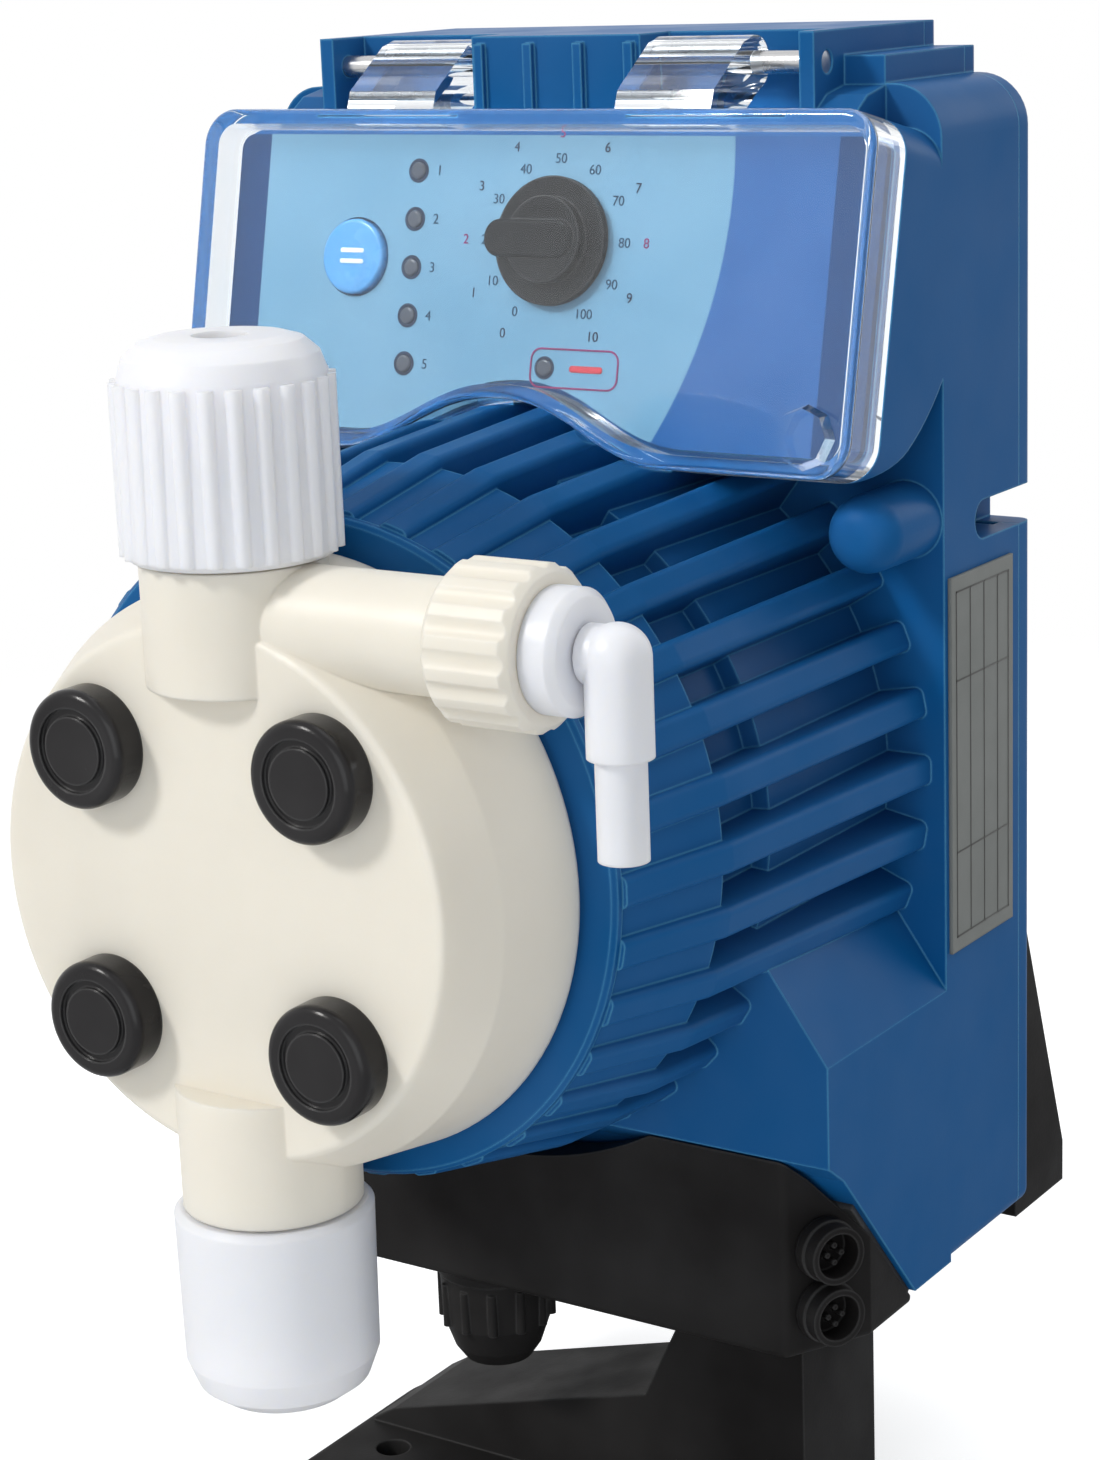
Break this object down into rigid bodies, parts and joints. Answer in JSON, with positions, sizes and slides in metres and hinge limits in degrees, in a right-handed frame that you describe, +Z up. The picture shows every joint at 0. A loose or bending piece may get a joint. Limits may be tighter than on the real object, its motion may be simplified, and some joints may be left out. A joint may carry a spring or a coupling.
{
  "type": "diaphragm metering pump",
  "caption": "Solenoid diaphragm metering pump with a finned housing, round pump head with hose ports, a tilting control panel under a hinged clear cover, and a foot bracket.",
  "frame": {"origin": "middle of the foot's four-hole pattern, on the face that the foot rests on", "axes": "+X to the pump's right seen from the front, +Y to the back, +Z up; the pump axis is parallel to Y"},
  "size_m": [0.1114, 0.139, 0.214],
  "materials": {
    "blue_plastic": "satin moulded plastic",
    "black_plastic": "satin moulded plastic",
    "black_cap": "semi-gloss moulded plastic",
    "cream_plastic": "satin moulded plastic",
    "white_plastic": "translucent natural plastic",
    "clear_plastic": "clear moulded plastic",
    "panel_print": "printed panel film",
    "button_blue": "gloss moulded plastic",
    "lamp_plastic": "dark lamp lens",
    "label_film": "bare grey plate",
    "board_green": "circuit board",
    "component_black": "moulded component case",
    "steel": "machined steel",
    "coil_copper": "enamelled copper winding",
    "brass": "machined brass",
    "aluminium": "machined aluminium",
    "black_rubber": "moulded rubber",
    "diaphragm_white": "smooth white diaphragm facing",
    "ceramic": "polished ceramic"
  },
  "bodies": {
    "casing": {"board_screws": "steel", "bracket_screws": "steel", "button_switch": "component_black", "capacitors": "component_black", "casing_screws": "steel", "casing_seal": "black_rubber", "circuit_board": "board_green", "coil_bobbin": "white_plastic", "coil_winding": "coil_copper", "control_panel": "panel_print", "diaphragm": "diaphragm_white", "diaphragm_flange": "aluminium", "discharge_nut": "white_plastic", "front_casing": "blue_plastic", "gland_body": "black_plastic", "gland_locknut": "black_plastic", "gland_nut": "black_plastic", "gland_seal": "black_rubber", "guide_bush": "brass", "head_screws": "steel", "head_washers": "steel", "hinge_pins": "steel", "hose_nipples": "cream_plastic", "indicator_lights": "lamp_plastic", "mounting_bracket": "black_plastic", "plunger_sleeve": "brass", "pole_piece": "steel", "potentiometer": "component_black", "power_board": "board_green", "pump_head": "cream_plastic", "rating_plate": "label_film", "rear_cover": "blue_plastic", "return_spring": "steel", "screw_caps": "black_cap", "signal_connectors": "black_plastic", "solenoid_frame": "steel", "solenoid_plate": "steel", "stroke_stop": "steel", "suction_nut": "white_plastic", "terminal_cover": "black_plastic", "terminal_gasket": "black_rubber", "terminal_screws": "steel", "transformer": "component_black", "valve_cages": "cream_plastic", "valve_orings": "black_rubber", "valve_seats": "cream_plastic"},
    "clear_cover": {"clear_cover": "clear_plastic"},
    "rate_knob": {"rate_knob": "black_cap", "pot_shaft": "steel"},
    "panel_button": {"panel_button": "button_blue"},
    "plunger": {"plunger": "steel", "push_rod": "steel", "diaphragm_support": "aluminium"},
    "suction_ball": {"suction_ball": "ceramic"},
    "discharge_ball": {"discharge_ball": "ceramic"},
    "purge_collar": {"purge_collar": "white_plastic"},
    "purge_knob": {"purge_knob": "cream_plastic", "purge_stem": "cream_plastic", "purge_oring": "black_rubber"},
    "purge_elbow": {"purge_elbow": "white_plastic"}
  },
  "joints": [
    {"name": "cover_hinge", "type": "hinge", "parent": "casing", "child": "clear_cover", "pos_m": [0, 0.0305, 0.21], "axis": [-1, 0, 0], "range_deg": [0, 115]},
    {"name": "rate_knob_turn", "type": "hinge", "parent": "casing", "child": "rate_knob", "pos_m": [0.0038, 0.01999, 0.18729], "axis": [0, -0.9763, 0.2164], "range_deg": [-150, 150]},
    {"name": "panel_button_press", "type": "slide", "parent": "casing", "child": "panel_button", "axis": [0, 0.9763, -0.2164], "range_m": [0, 0.0008], "stiffness_N_per_m": 800},
    {"name": "plunger_stroke", "type": "slide", "parent": "casing", "child": "plunger", "axis": [0, -1, 0], "range_m": [0, 0.00125], "stiffness_N_per_m": 2000, "springref_m": -0.002, "deforming": ["return_spring", "diaphragm"]},
    {"name": "suction_ball_lift", "type": "slide", "parent": "casing", "child": "suction_ball", "axis": [0, 0, 1], "range_m": [0, 0.0015]},
    {"name": "discharge_ball_lift", "type": "slide", "parent": "casing", "child": "discharge_ball", "axis": [0, 0, 1], "range_m": [0, 0.0015]},
    {"name": "purge_travel", "type": "slide", "parent": "casing", "child": "purge_collar", "axis": [1, 0, 0], "range_m": [0, 0.00125]},
    {"name": "purge_turn", "type": "hinge", "parent": "purge_collar", "child": "purge_knob", "pos_m": [0.04, -0.0465, 0.1495], "axis": [1, 0, 0], "range_deg": [0, 360]},
    {"name": "purge_elbow_swivel", "type": "hinge", "parent": "purge_collar", "child": "purge_elbow", "pos_m": [0.051, -0.0465, 0.1495], "axis": [1, 0, 0], "range_deg": [-150, 90]}
  ],
  "couplings": [
    {"joint": "purge_turn", "follows": "purge_travel", "rad_per_m": 5026}
  ]
}
